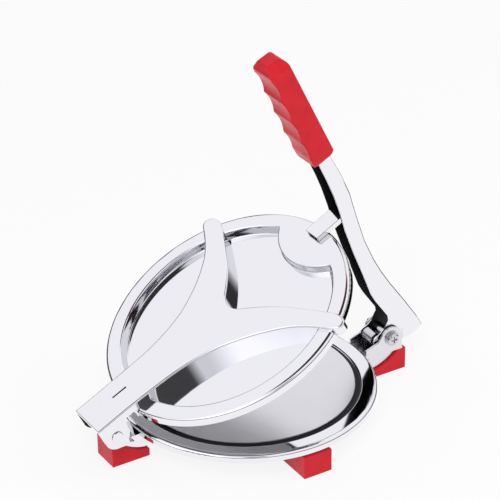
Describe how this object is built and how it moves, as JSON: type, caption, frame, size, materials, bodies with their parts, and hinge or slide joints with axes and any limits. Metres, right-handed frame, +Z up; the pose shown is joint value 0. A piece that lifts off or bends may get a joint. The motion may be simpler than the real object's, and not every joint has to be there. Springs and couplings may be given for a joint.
{
  "type": "tortilla press",
  "caption": "Hand press for tortillas: round dished base on wedge feet, hinged dished lid with a three-armed frame, and an upright channel lever with plastic grip.",
  "frame": {"origin": "on the table at the undersides of the feet, below the middle of the whole press as it rests; the centre of the round base is at x = -8.1 mm", "axes": "+Z up, +X from the lid hinge towards the lever pivot, +Y to the left when looking along +X; the press is symmetric about y = 0"},
  "size_m": [0.2488, 0.1712, 0.2482],
  "materials": {
    "polished_steel": "mirror-polished stainless steel sheet",
    "plated_steel": "bright zinc-plated turned steel",
    "red_plastic": "moulded red plastic, soft gloss"
  },
  "bodies": {
    "base": {"base_dish": "polished_steel", "lower_plate": "polished_steel", "hinge_bracket": "polished_steel", "lever_bracket": "polished_steel", "front_leg": "polished_steel", "rear_leg": "polished_steel", "foot_hinge_side": "red_plastic", "foot_lever_side": "red_plastic", "foot_front": "red_plastic", "foot_rear": "red_plastic", "hinge_pin": "plated_steel", "pivot_bolt": "plated_steel", "pivot_washers": "plated_steel", "pivot_nut": "plated_steel"},
    "lid": {"lid_dish": "polished_steel", "upper_plate": "polished_steel", "lid_frame": "polished_steel", "lid_tab": "polished_steel"},
    "lever": {"lever_channel": "polished_steel", "pivot_sleeve": "plated_steel", "roller_axle": "plated_steel", "grip": "red_plastic"},
    "roller": {"lever_roller": "plated_steel"}
  },
  "joints": [
    {"name": "lid_hinge", "type": "hinge", "parent": "base", "child": "lid", "pos_m": [-0.11085, 0, 0.0256], "axis": [0, -1, 0], "range_deg": [-27.8, 62]},
    {"name": "lever_pivot", "type": "hinge", "parent": "base", "child": "lever", "pos_m": [0.0985, 0, 0.0262], "axis": [0, 1, 0], "range_deg": [0, 20]},
    {"name": "roller_spin", "type": "hinge", "parent": "lever", "child": "roller", "pos_m": [0.0893, 0, 0.0258], "axis": [0, 1, 0], "continuous": true}
  ]
}
